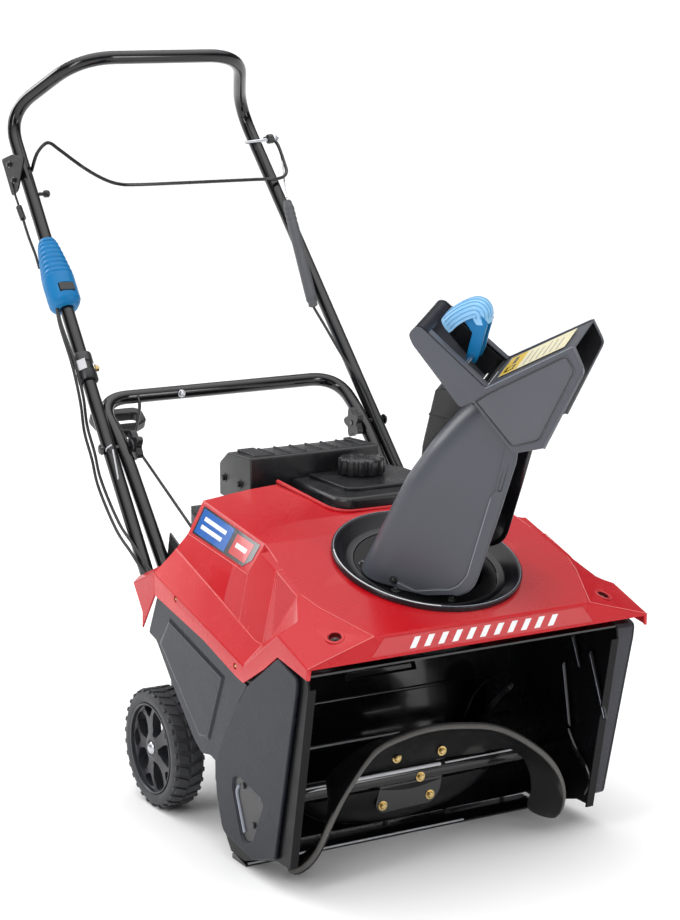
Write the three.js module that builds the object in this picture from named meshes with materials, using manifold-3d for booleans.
// Single stage snowblower: auger housing, hood, chute, engine, belt drive, wheels and folding handle.
// Millimetres. +Z up, +X to the right seen from the front, the intake faces -Y.
import * as THREE from 'three';
import { mergeVertices } from 'three/addons/utils/BufferGeometryUtils.js';
import Module from 'manifold-3d';

const wasm = await Module();
wasm.setup();

// ---------- driving dimensions ----------
const HALF_WIDTH = 272.5;          // half of the 545 mm overall width
const CENTRE_Y = 484.3;            // from the hood's front edge to the middle of the footprint
const GAP = 0.4;                   // air between touching pieces
const PLATE = 3;                   // steel plate thickness
const TUBE_R = 11;                 // handle tube radius
const AXLE = [479, 89.2];          // wheel axle, y and z
const WHEEL_R = 89.2;
const WHEEL_IN = 220;              // inner and outer face of the wheels, from the middle
const WHEEL_OUT = 271;
const ROTOR = [153, 106];          // auger shaft, y and z
const ROTOR_R = 104;
const ROTOR_X = -19;               // the auger sits left of the belt case
const ROTOR_HALF = 213;
const CRANK = [385, 250];          // engine crankshaft, y and z
const CASE_X = 230;                // inner wall of the belt case
const BELT_X = 247;                // middle plane of the belt
const RING = [0, 141.7, 419.4];    // middle of the chute ring's rim
const RING_R = 134;
const RING_TILT = THREE.MathUtils.degToRad(17.4);
const CHUTE_TURN = THREE.MathUtils.degToRad(42);
const FOLD = [674, 504];           // handle fold bolt, y and z
const KNOB_X = 192;

// ---------- materials ----------
const paint = (color, roughness, metalness = 0) =>
  new THREE.MeshStandardMaterial({ color, roughness, metalness });
const MAT = {
  red: paint(0xc8161d, 0.25), black: paint(0x16171a, 0.35), steel: paint(0x0d0e10, 0.2, 0.4),
  grey: paint(0x3c3f45, 0.5), rubber: paint(0x1c1c1d, 0.85), blue: paint(0x2f86cf, 0.45),
  zinc: paint(0xb9bcc0, 0.35, 0.9), cast: paint(0x8d9094, 0.55, 0.7), cord: paint(0x101012, 0.6),
};

const machine = new THREE.Group();
machine.position.y = -CENTRE_Y;

// ---------- solids and booleans ----------
function bare(geometry) {
  const g = geometry.clone();
  g.deleteAttribute('normal');
  g.deleteAttribute('uv');
  return mergeVertices(g, 1e-3);
}

function signedVolume(g) {
  const p = g.attributes.position;
  const a = new THREE.Vector3(), b = new THREE.Vector3(), c = new THREE.Vector3();
  let sum = 0;
  for (let i = 0; i < g.index.count; i += 3) {
    a.fromBufferAttribute(p, g.index.getX(i));
    b.fromBufferAttribute(p, g.index.getX(i + 1));
    c.fromBufferAttribute(p, g.index.getX(i + 2));
    sum += a.dot(b.cross(c));
  }
  return sum / 6;
}

// Merged vertices, faces turned outwards.
function closed(geometry) {
  const g = bare(geometry);
  if (signedVolume(g) < 0) {
    const index = Array.from(g.index.array);
    for (let i = 0; i < index.length; i += 3) [index[i], index[i + 1]] = [index[i + 1], index[i]];
    g.setIndex(index);
  }
  return g;
}

function toManifold(geometry) {
  const g = closed(geometry);
  return new wasm.Manifold(new wasm.Mesh({
    numProp: 3,
    vertProperties: new Float32Array(g.attributes.position.array),
    triVerts: new Uint32Array(g.index.array),
  }));
}

function fromManifold(solid) {
  const mesh = solid.getMesh();
  const g = new THREE.BufferGeometry();
  g.setAttribute('position', new THREE.BufferAttribute(new Float32Array(mesh.vertProperties), 3));
  g.setIndex(Array.from(mesh.triVerts));
  return g;
}

const cut = (base, ...tools) =>
  fromManifold(tools.reduce((solid, tool) => solid.subtract(toManifold(tool)), toManifold(base)));
const join = (base, ...others) =>
  fromManifold(others.reduce((solid, other) => solid.add(toManifold(other)), toManifold(base)));
const keep = (base, tool) => fromManifold(toManifold(base).intersect(toManifold(tool)));

function add(name, geometry, material, parent = machine) {
  const mesh = new THREE.Mesh(closed(geometry), material);
  mesh.name = name;
  parent.add(mesh);
  return mesh;
}

// ---------- shape helpers ----------
const outline = (points) => new THREE.Shape(points.map(([u, v]) => new THREE.Vector2(u, v)));
const V = (x, y, z) => new THREE.Vector3(x, y, z);

function basis(u, v, w, origin = [0, 0, 0]) {
  return new THREE.Matrix4().makeBasis(V(...u), V(...v), V(...w)).setPosition(...origin);
}

const extrude = (shape, depth) => new THREE.ExtrudeGeometry(shape, { depth, bevelEnabled: false, curveSegments: 8 });

// Outlines in (y, z), (x, z) and (x, y), extruded along X, Y and Z.
const prismX = (points, x0, x1) =>
  extrude(outline(points), x1 - x0).applyMatrix4(basis([0, 1, 0], [0, 0, 1], [1, 0, 0], [x0, 0, 0]));
const prismY = (points, y0, y1) =>
  extrude(outline(points), y1 - y0).applyMatrix4(basis([1, 0, 0], [0, 0, 1], [0, -1, 0], [0, y1, 0]));
const prismZ = (points, z0, z1) => extrude(outline(points), z1 - z0).translate(0, 0, z0);
const box = (x0, x1, y0, y1, z0, z1) => prismZ([[x0, y0], [x1, y0], [x1, y1], [x0, y1]], z0, z1);

// A profile of [radius, height] turned about +Z.
const turned = (profile, segments = 32) => new THREE.LatheGeometry(
  profile.map(([r, h]) => new THREE.Vector2(r, h)), segments).rotateX(Math.PI / 2);
// The same, with its heights along +X from x, about the line through (y, z).
const turnedX = (profile, x, [y, z], segments = 32) =>
  turned(profile, segments).rotateY(Math.PI / 2).translate(x, y, z);
const disc = (r, h0, h1) => [[0, h0], [r, h0], [r, h1], [0, h1]];
const rodX = (r, x0, x1, at, segments = 20) => turnedX(disc(r, x0, x1), 0, at, segments);
const hollow = (ri, ro, h0, h1) => [[ri, h0], [ro, h0], [ro, h1], [ri, h1], [ri, h0]];

// A solid turned so that its +Z points along `direction`, moved to `origin`.
function aim(geometry, origin, direction) {
  const q = new THREE.Quaternion().setFromUnitVectors(V(0, 0, 1), V(...direction).normalize());
  return geometry.applyQuaternion(q).translate(...origin);
}

// A path through `points` with rounded corners.
function roundedPath(points, radius) {
  const path = new THREE.CurvePath();
  const p = points.map((q) => V(...q));
  let from = p[0];
  for (let i = 1; i < p.length - 1; i += 1) {
    const back = p[i - 1].clone().sub(p[i]);
    const on = p[i + 1].clone().sub(p[i]);
    const reach = Math.min(radius, back.length() * 0.48, on.length() * 0.48);
    const a = p[i].clone().addScaledVector(back.normalize(), reach);
    const b = p[i].clone().addScaledVector(on.normalize(), reach);
    path.add(new THREE.LineCurve3(from, a));
    path.add(new THREE.QuadraticBezierCurve3(a, p[i].clone(), b));
    from = b;
  }
  path.add(new THREE.LineCurve3(from, p[p.length - 1]));
  return path;
}

function ringShape(r, sides) {
  const points = [];
  for (let i = 0; i < sides; i += 1) {
    const a = (i / sides) * Math.PI * 2;
    points.push([r * Math.cos(a), r * Math.sin(a)]);
  }
  return outline(points);
}

const sweep = (path, r, steps, sides = 10) =>
  new THREE.ExtrudeGeometry(ringShape(r, sides), { steps, extrudePath: path });
const tube = (points, r, steps, sides, radius) => sweep(roundedPath(points, radius), r, steps, sides);
const smoothTube = (points, r, steps, sides = 8) =>
  sweep(new THREE.CatmullRomCurve3(points.map((q) => V(...q))), r, steps, sides);

// A straight round bar between two points.
function bar(from, to, r, sides = 12) {
  const a = V(...from), b = V(...to);
  const d = b.clone().sub(a);
  return aim(turned(disc(r, 0, d.length()), sides), from, d.toArray());
}

// A solid through a row of closed loops that all have the same number of points.
function loft(loops) {
  const n = loops[0].length;
  const position = loops.flat().flat();
  const index = [];
  for (let k = 0; k < loops.length - 1; k += 1) {
    for (let i = 0; i < n; i += 1) {
      const a = k * n + i, b = k * n + (i + 1) % n;
      index.push(a, b, b + n, a, b + n, a + n);
    }
  }
  const capOf = (loop, start, flip) => {
    const p = loop.map((q) => V(...q));
    const normal = V(0, 0, 0);
    p.forEach((q, i) => normal.add(q.clone().cross(p[(i + 1) % n])));
    normal.normalize();
    const u = Math.abs(normal.x) < 0.9 ? V(1, 0, 0).cross(normal).normalize() : V(0, 1, 0).cross(normal).normalize();
    const v = normal.clone().cross(u);
    const flat = p.map((q) => new THREE.Vector2(q.dot(u), q.dot(v)));
    THREE.ShapeUtils.triangulateShape(flat, []).forEach(([a, b, c]) => {
      if (flip) index.push(start + a, start + c, start + b);
      else index.push(start + a, start + b, start + c);
    });
  };
  capOf(loops[0], 0, true);
  capOf(loops[loops.length - 1], (loops.length - 1) * n, false);
  const g = new THREE.BufferGeometry();
  g.setAttribute('position', new THREE.BufferAttribute(new Float32Array(position), 3));
  g.setIndex(index);
  return g;
}

const mirrorX = (points) => points.map(([x, ...rest]) => [-x, ...rest]);

// ---------- auger housing ----------
const AUGER_ARC_R = 115;
function scrollPath() {
  const points = [[8, 322], [62, 326], [150, 287], [232, 285], [262, 268], [268, 240], [268, ROTOR[1]]];
  for (let a = -9; a >= -53; a -= 11) {
    const t = THREE.MathUtils.degToRad(a);
    points.push([ROTOR[0] + AUGER_ARC_R * Math.cos(t), ROTOR[1] + AUGER_ARC_R * Math.sin(t)]);
  }
  return points;
}

// The outline of a bent sheet: `points` on one face, the other face `t` to the left of travel.
function sheetOutline(points, t) {
  const p = points.map(([u, v]) => new THREE.Vector2(u, v));
  const other = p.map((q, i) => {
    const a = p[Math.max(i - 1, 0)], b = p[Math.min(i + 1, p.length - 1)];
    const before = q.clone().sub(a).normalize(), after = b.clone().sub(q).normalize();
    const n1 = new THREE.Vector2(-before.y, before.x), n2 = new THREE.Vector2(-after.y, after.x);
    if (i === 0) n1.copy(n2);
    if (i === p.length - 1) n2.copy(n1);
    const n = n1.add(n2).normalize();
    return q.clone().addScaledVector(n, t / Math.max(n.dot(n2), 0.5));
  });
  return [...p, ...other.reverse()].map((q) => [q.x, q.y]);
}

const LEFT_WALL = -(HALF_WIDTH - 6.5);      // outer face of the left side plate
const SCROLL = [LEFT_WALL + PLATE + GAP, CASE_X - PLATE - GAP];
const DUCT_R = 84;                           // snow passage up to the chute
const ringAxis = V(0, -Math.sin(RING_TILT), Math.cos(RING_TILT));
const onRingAxis = (h) => V(...RING).addScaledVector(ringAxis, h).toArray();
const aboutRing = (profile, segments) => aim(turned(profile, segments), RING, ringAxis.toArray());

function augerHousing() {
  const path = scrollPath();
  const inside = [...path, [150, -40], [-60, -40], [-60, 322]];
  const sheet = prismX(sheetOutline(path, PLATE), ...SCROLL);
  const duct = cut(aboutRing(disc(DUCT_R + PLATE, -190, -24), 32), prismX(inside, ...SCROLL));
  return cut(join(sheet, duct), aboutRing(disc(DUCT_R, -230, 0), 32));
}

const plateOutline = [
  [5, 303], [8, 320], [60, 330], [75, 331], [150, 292], [232, 290], [266, 272], [272, 240], [272, 106],
  [252, 45], [226, 13], [186, 11], [150, 24], [92, 42], [56, 42],
];

function sidePlate(x0, x1, flangeX0, flangeX1) {
  const plate = prismX(plateOutline, x0, x1);
  const lip = prismX([[5, 303], [8, 303], [59, 42], [56, 42]], flangeX0, flangeX1);
  return cut(join(plate, lip), rodX(10.6, x0 - 30, x1 + 30, ROTOR));
}

add('auger_housing', augerHousing(), MAT.steel);
add('left_side_plate', sidePlate(LEFT_WALL, LEFT_WALL + PLATE, LEFT_WALL, LEFT_WALL + 12), MAT.steel);
add('right_side_plate', sidePlate(CASE_X - PLATE, CASE_X, CASE_X - 12, CASE_X), MAT.steel);
add('scraper_bar', prismX([[189, 0], [230, 0], [230, 8], [214, 8], [189, 3]], SCROLL[0], SCROLL[1]), MAT.zinc);

// ---------- side panels and covers ----------
const panelOutline = [
  [75.8, 330.5], [27, 316.5], [24, 311], [25.5, 297], [87, 48], [92, 44.5], [149.7, 26], [233, 37],
  [242, 44], [257, 88.5], [261, 129], [236, 178], [199, 227], [164, 268.6],
];
const bearingRecess = [[199.2, 135.5], [118.4, 120.3], [114, 113], [150, 52], [158, 51], [206.6, 118.2]];

// The same outline moved inwards by d.
function inset(points, d) {
  const n = points.length;
  const area = points.reduce((s, [u, v], i) => {
    const [p, q] = points[(i + 1) % n];
    return s + u * q - p * v;
  }, 0);
  const side = Math.sign(area);
  return points.map(([u, v], i) => {
    const [pu, pv] = points[(i + n - 1) % n];
    const [nu, nv] = points[(i + 1) % n];
    const a = new THREE.Vector2(u - pu, v - pv).normalize();
    const b = new THREE.Vector2(nu - u, nv - v).normalize();
    const n1 = new THREE.Vector2(-a.y, a.x).multiplyScalar(side);
    const n2 = new THREE.Vector2(-b.y, b.x).multiplyScalar(side);
    const m = n1.add(n2).normalize();
    const k = d / Math.max(m.dot(n2), 0.45);
    return [u + m.x * k, v + m.y * k];
  });
}

function leftFrontPanel() {
  const outer = prismX(panelOutline, -HALF_WIDTH + 0.5, LEFT_WALL - GAP);
  const edge = prismX(inset(panelOutline, 7), -HALF_WIDTH, -HALF_WIDTH + 2);
  return cut(join(outer, edge), prismX(bearingRecess, -HALF_WIDTH - 1, LEFT_WALL - 2.2),
    rodX(15, -HALF_WIDTH - 5, LEFT_WALL + 5, ROTOR));
}

function rightFrontPanel() {
  const shell = prismX(panelOutline, CASE_X + GAP, HALF_WIDTH - 0.5);
  const edge = prismX(inset(panelOutline, 7), HALF_WIDTH - 2, HALF_WIDTH);
  const room = prismX(inset(panelOutline, 3), CASE_X - 5, HALF_WIDTH - 4);
  const beltWay = prismX([[150, 60], [300, 60], [300, 300], [150, 300]], CASE_X - 5, HALF_WIDTH - 4);
  return cut(join(shell, edge), room, keep(beltWay, prismX([[200, 60], [300, 60], [300, 262], [150, 262]],
    CASE_X - 5, HALF_WIDTH - 4)));
}
add('left_front_panel', leftFrontPanel(), MAT.black);
add('right_front_panel', rightFrontPanel(), MAT.black);

const coverOutline = (lower) => [
  [168, 269], [186, 270.5], [421, 337], [446, 329], [476, 268], ...lower, [263, 132], [238, 180], [201, 229],
];
const leftCoverLower = [[451, 262], [400, 209], [332, 146], [308, 132], [281, 137]];
const rightCoverLower = [[451, 255], [400, 192], [345, 140], [300, 100], [262, 92]];
const coverRidge = [[405, 308], [232, 264], [280, 158], [312, 152], [440, 262]];

function leftRearCover() {
  const plate = prismX(coverOutline(leftCoverLower), -HALF_WIDTH + 3.5, LEFT_WALL - GAP);
  return join(plate, prismX(coverRidge, -HALF_WIDTH, -HALF_WIDTH + 5));
}

function rightRearCover() {
  const outer = [...coverOutline(rightCoverLower).slice(0, 5), ...rightCoverLower,
    [264, 100], [263, 132], [238, 180], [201, 229]];
  const shell = join(prismX(outer, CASE_X + GAP, HALF_WIDTH - 4), prismX(coverRidge, HALF_WIDTH - 5, HALF_WIDTH));
  return cut(shell, prismX(inset(outer, 3), CASE_X - 5, HALF_WIDTH - 7),
    prismX([[150, 97], [275, 97], [290, 118], [290, 240], [150, 240]], CASE_X - 5, HALF_WIDTH - 7));
}
add('left_rear_cover', leftRearCover(), MAT.black);
add('right_rear_cover', rightRearCover(), MAT.black);

// ---------- hood ----------
const HOOD_WALL = 3;
const HOOD_FRONT = -4;
const HOOD_REAR = 447;
const TAIL_REAR = 519;
// Half sections from the side ridge to the crown: [y, [x, z] ...].
const hoodSections = [
  [HOOD_FRONT, [272.5, 335.6], [252, 341.7], [222, 350.7], [172.8, 365.4], [120, 365.4], [0, 365.4]],
  [76, [272.5, 362], [260, 367.1], [240, 375.3], [206.7, 388.9], [120, 390.5], [0, 390.5]],
  [112, [272.5, 336.7], [261.3, 346.6], [222, 399], [216, 400.5], [120, 401.8], [0, 401.8]],
  [173, [272.5, 294.5], [242.5, 320], [220.3, 420], [211, 421], [120, 421], [0, 421]],
  [192, [272.5, 299.5], [244.5, 322.8], [219.8, 426], [208.2, 426.6], [120, 427], [0, 427]],
  [221, [272.5, 306.8], [243.5, 331.1], [219, 435.6], [204, 436], [120, 436], [0, 436]],
  [240, [272.5, 311.6], [242.8, 336.6], [229, 402], [202.3, 441.5], [120, 442], [0, 442]],
  [290, [272.5, 324.2], [240.8, 350.9], [226, 405.5], [199.6, 446], [120, 455], [0, 456]],
  [HOOD_REAR, [272.5, 363.7], [237.2, 395.3], [217.4, 415.7], [192, 462], [120, 470], [0, 477]],
  [TAIL_REAR, [272.5, 332.7], [237.2, 365], [217.4, 385], [192, 430], [120, 440], [0, 447]],
];
const hoodLowerEdge = [
  [-20, 319.8], [HOOD_FRONT, 319.8], [26, 318], [75.8, 332], [164.2, 270.2], [185, 272], [422, 338.6],
  [447.5, 330.5], [490, 271], [520, 271],
];

function hoodLoop([y, ...half], wall, floor) {
  const left = half.map(([x, z]) => [-(x - (x > 0 ? wall : 0)), y, z - wall]);
  const right = half.slice(0, -1).reverse().map(([x, z]) => [x - wall, y, z - wall]);
  const sideX = HALF_WIDTH - wall;
  return [[-sideX, y, floor], ...left, ...right, [sideX, y, floor]];
}

function hood() {
  const outer = loft(hoodSections.map((section) => hoodLoop(section, 0, 200)));
  const stretched = hoodSections.map(([y, ...half]) => {
    if (y === HOOD_FRONT) return [y + HOOD_WALL, ...half];
    if (y === TAIL_REAR) return [y + 6, ...half];
    return [y, ...half];
  });
  const inner = loft(stretched.map((section) => hoodLoop(section, HOOD_WALL, 150)));
  const below = prismX([...hoodLowerEdge, [520, 100], [-20, 100]], -300, 300);
  const behind = box(-262, 262, HOOD_REAR, 600, 150, 500);
  const tailTrim = prismX([[447, 400], [530, 400], [530, 260], [490, 268], [519, 322], [519, 332]], -300, 300);
  const mouth = box(-268, 268, -20, 0, 300, 333);
  const notch = prismZ([[-56, 312], [-36, 294], [150, 294], [166, 310], [166, 480], [-68, 480]], 400, 520);
  const ringHole = aboutRing(disc(123, -60, 60), 40);
  return cut(outer, inner, below, behind, tailTrim, mouth, notch, ringHole);
}
add('hood', hood(), MAT.red);

// ---------- chute ring, base, chute and deflector ----------
add('chute_ring', aboutRing([[134, -7.4], [134, -1], [132.5, 0], [129, 0], [111, -15], [101.5, -15],
  [101.5, -18], [112, -18], [120.5, -11], [120.5, -7.4], [134, -7.4]], 40), MAT.black);
add('chute_base', aboutRing([[80, -22], [80, -15], [100.8, -15], [100.8, -21.5], [95, -22], [95, -27], [91, -30],
  [95, -33], [95, -40], [88, -40], [88, -22], [80, -22]], 36), MAT.black);

// In the chute's own frame s runs forwards, w across it and t along the ring's axis.
const chuteFrame = new THREE.Group();
chuteFrame.position.set(...RING);
chuteFrame.quaternion.setFromAxisAngle(V(1, 0, 0), RING_TILT)
  .multiply(new THREE.Quaternion().setFromAxisAngle(V(0, 0, 1), CHUTE_TURN));
machine.add(chuteFrame);
// Outlines in (s, t), extruded across: s is -y and w is x in the turned frame.
const prismW = (points, w0, w1) => prismX(points.map(([s, t]) => [-s, t]).reverse(), w0, w1);

const chuteHalf = (t) => 83 - 0.12 * t;
const CHUTE_WALL = 3;
const chuteLevels = [[-14.6, -76, 96], [20, -67, 96], [50, -60, 98], [90, -50, 101], [129, -40, 104], [187, -16, 109],
  [230, 7, 114], [285, 42, 120]];

function chuteLoop([t, back, front], wall) {
  const half = chuteHalf(t) - wall;
  const b = back + wall, f = wall > 0 ? front + 60 : front;
  const corner = 34 - wall;
  const loop = [[-half, -f, t], [-half, -(b + corner), t]];
  for (let a = 20; a <= 90; a += 17.5) {
    const r = THREE.MathUtils.degToRad(a);
    loop.push([-(half - corner * (1 - Math.cos(r))), -(b + corner * (1 - Math.sin(r))), t]);
  }
  return [...loop, ...mirrorX(loop).reverse()];
}

function chute() {
  const stretch = (levels) => levels.map(([t, b, f], i) => {
    if (i === 0) return [t - 10, b, f];
    return i === levels.length - 1 ? [t + 10, b + 6, f] : [t, b, f];
  });
  const outer = loft(chuteLevels.map((level) => chuteLoop(level, 0)));
  const inner = loft(stretch(chuteLevels).map((level) => chuteLoop(level, CHUTE_WALL)));
  const top = prismW([[14, 249], [22, 255], [45, 265], [104, 222], [140, 222], [140, 340], [-60, 340], [-60, 249]],
    -120, 120);
  const foot = prismW([[30, -40], [30, -11.5], [62, 2], [92, 15], [150, 15], [150, -40]], -120, 120);
  const nose = prismW([[91, -40], [91, 17], [106, 205], [104.5, 222], [104, 330], [200, 330], [200, -40]], -120, 120);
  const post = prismW([[-44, 134], [-30, 128], [0, 190], [16, 236], [4, 250], [-27, 250], [-37, 244], [-47, 160]], 8, 40);
  return join(cut(outer, inner, top, foot, nose), cut(post, loft(chuteLevels.map((level) => chuteLoop(level, 1)))));
}
add('chute', chute(), MAT.black, chuteFrame);

const HINGE = [26, 262];            // deflector hinge, s and t
const DEFLECTOR_IN = 60.4;
const DEFLECTOR_OUT = 63.2;
const deflectorSide = [[19, 262], [33, 275], [100, 219], [139, 239], [169, 357], [148, 386], [46, 298],
  [-54, 355], [-63, 353], [-69, 341], [-61, 329]];
const deflectorTop = [[46, 298], [148, 386], [150, 382.6], [48, 294]];

function deflector() {
  // The side walls lean in towards the outlet.
  const leaning = (side) => {
    const g = bare(prismW(deflectorSide, side > 0 ? DEFLECTOR_IN : -DEFLECTOR_OUT, side > 0 ? DEFLECTOR_OUT : -DEFLECTOR_IN));
    const p = g.attributes.position;
    for (let i = 0; i < p.count; i += 1) {
      p.setX(i, p.getX(i) - side * Math.max(0, p.getZ(i) - 262) * 0.078);
    }
    return g;
  };
  const roof = prismW([[46, 298], [148, 386], [150.4, 383.4], [48, 294.5]], -57, 57);
  const backWall = prismW([[19, 262], [-61, 329], [-58.6, 331.8], [21.5, 265]], -61, 61);
  const cap = prismW([[-61, 329], [-69, 341], [-63, 353], [-54, 355], [-40, 347], [-42, 344], [-56, 351.5],
    [-61, 350], [-65.5, 341.5], [-58, 331.5]], -59, 59);
  const pin = bar([-58, -12, 318], [58, -12, 318], 3, 10);
  const envelope = loft([[200, DEFLECTOR_OUT], [262, DEFLECTOR_OUT], [400, DEFLECTOR_OUT - 10.76]].map(([t, half]) =>
    [[-half, -250, t], [half, -250, t], [half, 250, t], [-half, 250, t]]));
  return keep(join(leaning(-1), leaning(1), backWall, cap, roof, pin), envelope);
}
add('deflector', deflector(), MAT.black, chuteFrame);

const triggerOutline = [[3, 308], [21, 308], [22, 340], [27, 374], [2, 397], [-40, 359], [-34, 350], [1, 380],
  [14, 366], [8, 340]];
add('deflector_trigger', cut(prismW(triggerOutline, -20, 20), bar([-30, -12, 318], [30, -12, 318], 3.4, 12)),
  MAT.blue, chuteFrame);

// ---------- auger rotor ----------
const HUB_R = 12;
const rotorPlate = [[151, 65], [155, 65], [155, 134], [151, 134]];
add('rotor_shaft', join(rodX(HUB_R - 2, LEFT_WALL - 1, 262, ROTOR), rodX(HUB_R, -232, 194, ROTOR),
  prismX(rotorPlate, -65, 18)), MAT.steel);

// The edge of a paddle leads in the middle and trails at the ends: [distance from the middle, angle].
const edgeLead = [[0, 54], [50, 51], [100, 43], [150, 22], [180, 2], [200, -25], [ROTOR_HALF, -62]];

function paddle(half) {
  const stations = [...mirrorX(edgeLead.slice(1)).reverse(), ...edgeLead];
  const loops = stations.map(([dx, lead]) => {
    const at = (r, degrees, side) => {
      const a = THREE.MathUtils.degToRad(180 - degrees - half * 180);
      return [ROTOR_X + dx, ROTOR[0] + r * Math.cos(a) + side * Math.sin(a),
        ROTOR[1] + r * Math.sin(a) - side * Math.cos(a)];
    };
    return [[13, 34], [45, 26], [75, 14], [ROTOR_R - 0.4, 0]].map(([r, back]) => at(r, lead + back, -4))
      .concat([[ROTOR_R - 0.4, 0], [75, 14], [45, 26], [13, 34]].map(([r, back]) => at(r, lead + back, 4)));
  });
  const clear = prismX([[150.6, 64.6], [155.4, 64.6], [155.4, 134.4], [150.6, 134.4]], -65.4, 18.4);
  return cut(loft(loops), rodX(HUB_R + GAP, -240, 240, ROTOR), clear);
}
add('paddle_front', paddle(0), MAT.rubber);
add('paddle_rear', paddle(1), MAT.rubber);

// ---------- belt drive ----------
const PULLEY_R = { rotor: 62, engine: 28 };
const pulley = (r, bore, at) => turnedX([[bore, BELT_X - 7], [r + 4, BELT_X - 7], [r, BELT_X - 4],
  [r, BELT_X + 4], [r + 4, BELT_X + 7], [bore, BELT_X + 7], [bore, BELT_X - 7]], 0, at, 28);

function beltOutline(extra) {
  const r1 = PULLEY_R.rotor + extra, r2 = PULLEY_R.engine + extra;
  const dy = CRANK[0] - ROTOR[0], dz = CRANK[1] - ROTOR[1];
  const along = Math.atan2(dz, dy);
  const half = Math.acos((r1 - r2) / Math.hypot(dy, dz));
  const points = [];
  for (let i = 0; i <= 16; i += 1) {
    const a = along + half + (i / 16) * (2 * Math.PI - 2 * half);
    points.push([ROTOR[0] + r1 * Math.cos(a), ROTOR[1] + r1 * Math.sin(a)]);
  }
  for (let i = 0; i <= 10; i += 1) {
    const a = along - half + (i / 10) * 2 * half;
    points.push([CRANK[0] + r2 * Math.cos(a), CRANK[1] + r2 * Math.sin(a)]);
  }
  return points;
}
add('rotor_pulley', pulley(PULLEY_R.rotor, 10.4, ROTOR), MAT.cast);
add('engine_pulley', pulley(PULLEY_R.engine, 12.9, CRANK), MAT.cast);
add('drive_belt', cut(prismX(beltOutline(7), BELT_X - 3.4, BELT_X + 3.4),
  prismX(beltOutline(1), BELT_X - 5, BELT_X + 5)), MAT.rubber);

const IDLER = [246.5, 259];
const IDLER_PIVOT = [322, 290];
add('idler_arm', join(prismX([[241, 251], [250, 250], [328, 282], [330, 292], [322, 299], [312, 294], [241, 266]],
  256, 259), rodX(8, CASE_X + 2, 262, IDLER_PIVOT), rodX(5, 238, 257, IDLER)), MAT.zinc);
add('idler_pulley', turnedX([[5.4, 240], [20, 240], [18, 243], [18, 251], [20, 254], [5.4, 254], [5.4, 240]],
  0, IDLER, 28), MAT.cast);

// ---------- engine ----------
add('engine_frame', (() => {
  const tray = box(-202, 202, 272, 540, 128, 131);
  const front = box(-202, 202, 271.6, 274.6, 128, 225);
  const flange = [[271.6, 128], [440, 128], [447, 74], [512, 74], [520, 128], [540, 128], [556, 330], [540, 396],
    [504, 380], [496, 234], [271.6, 225]];
  const sides = [prismX(flange, -202, -199), prismX(flange, 199, 202)];
  return cut(join(tray, front, ...sides), rodX(8.6, -210, 210, AXLE, 24));
})(), MAT.steel);

add('engine_block', (() => {
  const crankcase = prismX([[332, 131.6], [440, 131.6], [450, 150], [450, 300], [436, 316], [344, 316], [332, 300]],
    -66, 96);
  const cylinder = box(-24, 60, 348, 424, 314, 392);
  const fins = [326, 342, 358, 374].map((z) => box(-32, 68, 340, 432, z, z + 5));
  return cut(join(crankcase, cylinder, ...fins), rodX(13.4, -80, 110, CRANK));
})(), MAT.cast);
add('crankshaft', rodX(12.5, -108, 259, CRANK, 24), MAT.zinc);
add('flywheel', turnedX(hollow(12.9, 74, -104, -74), 0, CRANK, 32), MAT.cast);
add('recoil_housing', turnedX([[84, -70], [90, -70], [90, -122], [70, -140], [0, -140], [0, -136], [68.5, -136],
  [86, -120], [86, -74], [84, -74], [84, -70]], 0, CRANK, 24), MAT.black);
add('recoil_pulley', rodX(44, -130, -114, CRANK, 32), MAT.grey);
add('spark_plug', aim(turned([[0, 0], [7, 0], [7, 14], [4.5, 16], [4.5, 30], [0, 30]], 16), [18, 339.4, 350.5],
  [0, -1, 0]), MAT.zinc);
add('carburettor', join(box(69, 112, 352, 398, 330, 372), turnedX(disc(20, 112, 136), 0, [376, 350], 24)), MAT.cast);
add('electric_starter_motor', join(rodX(24, -60, 62, [303, 178], 28), rodX(10, 60, 84, [303, 178], 16)), MAT.steel);
add('muffler', turnedX([[0, -74], [24, -74], [28, -68], [28, 78], [24, 84], [0, 84]], 0, [521, 470], 28), MAT.cast);

const guardOutline = [[470, 437], [470, 511], [544, 508], [572, 488], [572, 437]];
add('muffler_guard', cut(prismX(guardOutline, -102, 120),
  prismX([[473, 400], [473, 508], [543, 505], [569, 486.5], [569, 400]], -99, 117),
  ...[-70, -30, 10, 50].map((x) => box(x, x + 26, 490, 496, 480, 520))), MAT.black);

const tankOutline = [[-45, 318], [-28, 300], [136, 300], [155, 318], [155, 467], [-38, 467]];
const tankTop = [[-10, 350], [4, 338], [118, 338], [132, 352], [132, 462], [-10, 462]];
add('fuel_tank', join(prismZ(tankOutline, 404, 475), prismZ(tankTop, 470, 480),
  turned(disc(24, 478, 486), 32).translate(62, 426, 0)), MAT.black);
add('fuel_cap', (() => {
  const skirt = turned([[25, 481], [35, 481], [35, 502], [32, 505], [0, 505], [0, 487], [25, 487], [25, 481]], 32);
  const grooves = [];
  for (let i = 0; i < 12; i += 1) {
    const a = (i / 12) * Math.PI * 2;
    grooves.push(turned(disc(3.2, 484, 520), 6).translate(36 * Math.cos(a), 36 * Math.sin(a), 0));
  }
  return cut(skirt, ...grooves).translate(62, 426, 0);
})(), MAT.black);

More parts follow.
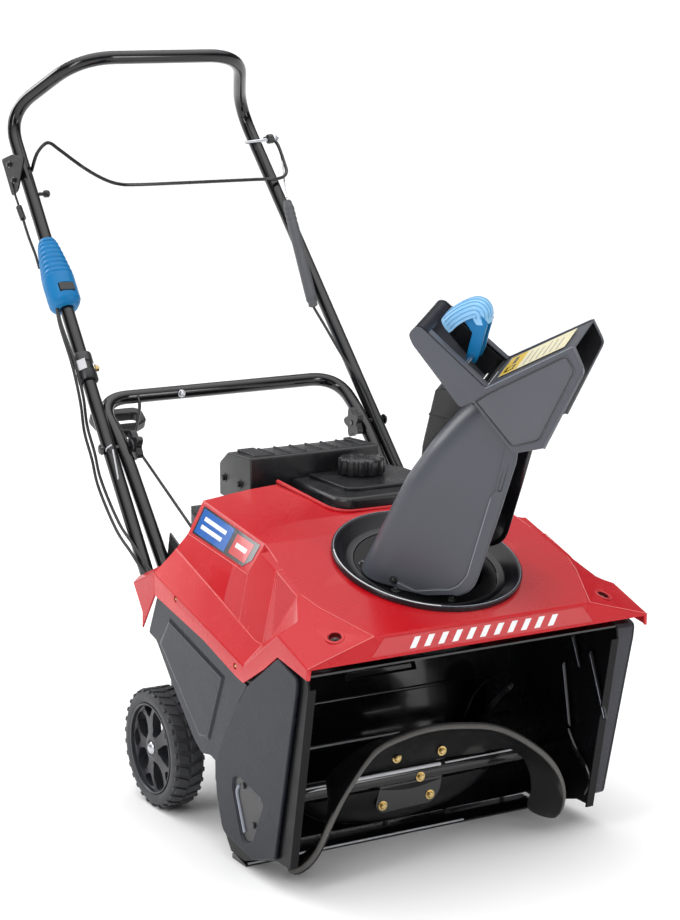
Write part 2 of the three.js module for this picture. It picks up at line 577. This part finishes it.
// ---------- rear controls ----------
const SHROUD = { half: 166, front: 484, rear: 540, low: 236, high: 433 };
const controlHole = (x, z, r) => aim(turned(disc(r, 0, 40), 24), [x, 520, z], [0, 1, 0]);
add('rear_shroud', cut(box(-SHROUD.half, SHROUD.half, SHROUD.front, SHROUD.rear, SHROUD.low, SHROUD.high),
  box(3 - SHROUD.half, SHROUD.half - 3, SHROUD.front - 5, SHROUD.rear - 3, SHROUD.low - 5, SHROUD.high - 3),
  box(-104, -96, 520, 560, 372, 392), controlHole(-35, 382, 4.4), controlHole(35, 382, 16.4),
  controlHole(100, 382, 10.4)), MAT.black);
add('ignition_key', join(box(-101.5, -98.5, 515, 545, 375, 389), box(-102, -98, 541, 562, 368, 396)), MAT.grey);
add('choke_knob', aim(turned([[0, 0], [4, 0], [4, 25], [17, 25], [15, 40], [0, 40]], 24), [-35, 516, 382],
  [0, 1, 0]), MAT.black);
add('primer_bulb', aim(turned([[0, 0], [16, 0], [16, 12], [13, 18], [7, 21], [0, 22]], 24), [35, 530, 382],
  [0, 1, 0]), MAT.rubber);
add('start_button', aim(turned([[0, 0], [13, 0], [13, 3], [10, 3], [10, 19], [8.5, 21], [0, 21]], 24),
  [100, 530, 382], [0, 1, 0]), MAT.grey);

// ---------- axle and wheels ----------
add('axle', rodX(8, -262, 262, AXLE, 20), MAT.zinc);
const rimProfile = [[8.4, 222], [20, 222], [20, 246], [54, 246], [54, 222], [62, 222], [62, 269], [54, 269],
  [54, 256], [20, 256], [20, 266], [8.4, 266], [8.4, 222]];
const tyreProfile = [[62.4, 222], [80, WHEEL_IN], [WHEEL_R, 228], [WHEEL_R, 263], [80, WHEEL_OUT], [62.4, 269],
  [62.4, 222]];

function wheel(side) {
  const flip = (profile) => profile.map(([r, h]) => [r, side * h]);
  const windows = [];
  for (let i = 0; i < 6; i += 1) {
    const a = (i / 6) * Math.PI * 2;
    windows.push(rodX(12, 200, 290, [AXLE[0] + 38 * Math.cos(a), AXLE[1] + 38 * Math.sin(a)], 9));
  }
  if (side < 0) windows.forEach((g) => g.scale(-1, 1, 1));
  return {
    rim: cut(turnedX(flip(rimProfile), 0, AXLE, 24), ...windows),
    tyre: turnedX(flip(tyreProfile), 0, AXLE, 32),
  };
}
[['left', -1], ['right', 1]].forEach(([name, side]) => {
  const { rim, tyre } = wheel(side);
  add(`${name}_wheel_rim`, rim, MAT.black);
  add(`${name}_tyre`, tyre, MAT.rubber);
});

// ---------- handle ----------
// The middle line of an upper arm at height z.
const armX = (z) => 238 - 0.0463 * (z - 463);
const armY = (z) => 640 + 0.88 * (z - 463);
const ARM = [0.0347, 0.6602, 0.7502];
const legPath = [[213.5, 530, 341], [213.5, ...FOLD], [213.5, 763.5, 563.2]];
const foldHole = rodX(4.5, -270, 270, FOLD, 16);
add('lower_handle', cut(tube([...mirrorX(legPath), ...legPath.slice().reverse()], TUBE_R, 44, 10, 60), foldHole),
  MAT.steel);
const loopPath = [[armX(320), armY(320), 320], [armX(986), armY(986), 986], [144, 962, 1079]];
add('upper_handle', cut(tube([...mirrorX(loopPath), ...loopPath.slice().reverse()], TUBE_R, 54, 10, 62), foldHole),
  MAT.steel);

[['left', -1], ['right', 1]].forEach(([name, side]) => {
  const mirrored = (g) => (side < 0 ? g.scale(-1, 1, 1) : g);
  add(`${name}_fold_bolt`, mirrored(turnedX([[0, 188], [4, 188], [4, 249], [9, 249], [9, 251], [6, 254], [0, 254]],
    0, FOLD, 16)), MAT.zinc);
  const lobes = [];
  for (let i = 0; i < 5; i += 1) {
    const a = (i / 5) * Math.PI * 2;
    lobes.push(rodX(7, 189, 200, [FOLD[0] + 16 * Math.cos(a), FOLD[1] + 16 * Math.sin(a)], 9));
  }
  add(`${name}_star_knob`, mirrored(cut(join(rodX(15, 187, 201.5, FOLD, 20), ...lobes),
    rodX(4.4, 180, 210, FOLD, 16))), MAT.black);
});

add('bail', smoothTube([[-203.4, 1024, 898], [-200, 1004, 932], [-188, 998, 946], [-166, 1000, 932],
  [-125, 1003, 903], [-72, 980, 874], [60, 977, 872], [222, 974, 872], [243, 986, 880], [248, 1004, 898],
  [248, 1028, 926], [240, 1038, 934], [230, 1042, 935]], 3, 46, 6), MAT.steel);
add('spring_sleeve', bar([217.5, 937, 836], [198, 814, 677], 9.5, 16), MAT.grey);
add('auger_cable', smoothTube([[197.5, 811.5, 674], [205, 768, 630], [227.8, 700, 556], [229.5, 640, 488],
  [240, 560, 396], [250, 500, 338], [252, 472, 308]], 2.5, 18, 6), MAT.cord);

const GRIP_AT = [-armX(745), armY(745), 745];
const gripFrame = new THREE.Group();
gripFrame.position.set(...GRIP_AT);
gripFrame.quaternion.setFromUnitVectors(V(0, 0, 1), V(...ARM));
machine.add(gripFrame);
add('chute_grip', cut(turned([[11.6, -65], [20, -65], [25, -52], [24, -10], [26, 24], [24, 50], [17, 65],
  [11.6, 65], [11.6, -65]], 20), box(-9, 9, -40, -18, -50, -22)), MAT.blue, gripFrame);
add('grip_trigger', box(-8.4, 8.4, -29, -21.5, -49, -23), MAT.black, gripFrame);
add('chute_cable', smoothTube([[-248, 810, 668], [-250, 770, 628], [-250, 738, 578], [-250, 725, 533],
  [-250, 699, 495], [-253, 670, 457], [-256, 603, 406], [-257, 547, 381], [-256, 502, 358], [-250, 478, 346]],
  3, 22, 6), MAT.cord);

// ---------- recoil starter pull ----------
const ROPE = [0, 0.9047, 0.426];
const ropePoint = (d) => [-175, 497 + ROPE[1] * d, 394 + ROPE[2] * d];
add('starter_rope', bar(ropePoint(-236), ropePoint(269), 2.4, 8), MAT.cord);
const dFrame = new THREE.Group();
dFrame.position.set(...ropePoint(270));
dFrame.quaternion.setFromUnitVectors(V(0, 0, 1), V(...ROPE));
machine.add(dFrame);
add('starter_handle', cut(prismY([[-12, 0], [12, 0], [16, 8], [42, 22], [45, 50], [36, 60], [-36, 60], [-45, 50],
  [-42, 22], [-16, 8]], -8, 8), prismY([[-29, 20], [29, 20], [33, 40], [29, 44], [-29, 44], [-33, 40]], -12, 12)),
  MAT.black, dFrame);

export default machine;
